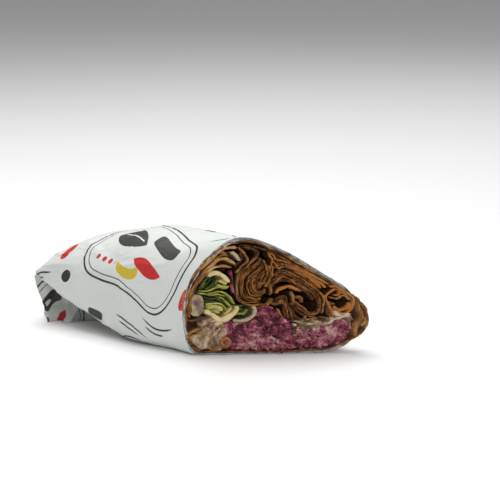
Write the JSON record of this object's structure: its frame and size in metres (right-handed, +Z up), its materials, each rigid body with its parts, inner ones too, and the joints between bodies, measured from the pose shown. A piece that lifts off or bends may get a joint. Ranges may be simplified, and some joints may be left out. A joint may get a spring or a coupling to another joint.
{
  "type": "half doner kebab sandwich roll in paper",
  "caption": "Half of a rolled flatbread sandwich with shaved meat, salad and red cabbage, cut on the slant and wrapped in printed paper with a folded end.",
  "frame": {"origin": "on the flat underside of the paper, below the middle of the roll", "axes": "+X along the roll, from the folded paper end to the cut end; +Z up; the cut faces +X and -Y"},
  "size_m": [0.1969, 0.0724, 0.0658],
  "materials": {
    "paper": "thin greaseproof paper, printed, creased",
    "bread": "griddled flatbread, dry and layered",
    "meat": "roasted sliced meat, slightly oily",
    "lettuce": "wet leaf, waxy",
    "onion": "moist and translucent",
    "cabbage": "shredded red cabbage in thin dressing, wet",
    "yoghurt": "creamy dressing tinted by cabbage, wet",
    "pepper": "pickled pepper, wet"
  },
  "bodies": {
    "root": {"paper_wrap": "paper", "flatbread": "bread", "meat_left": "meat", "meat_right": "meat", "lettuce_upper": "lettuce", "lettuce_lower": "lettuce", "lettuce_rib": "lettuce", "lettuce_tip": "lettuce", "lettuce_scrap": "lettuce", "onion_left": "onion", "onion_ring": "onion", "onion_sliver": "onion", "red_cabbage": "cabbage", "yoghurt_left": "yoghurt", "yoghurt_right": "yoghurt", "pepper_slice": "pepper"}
  },
  "joints": []
}
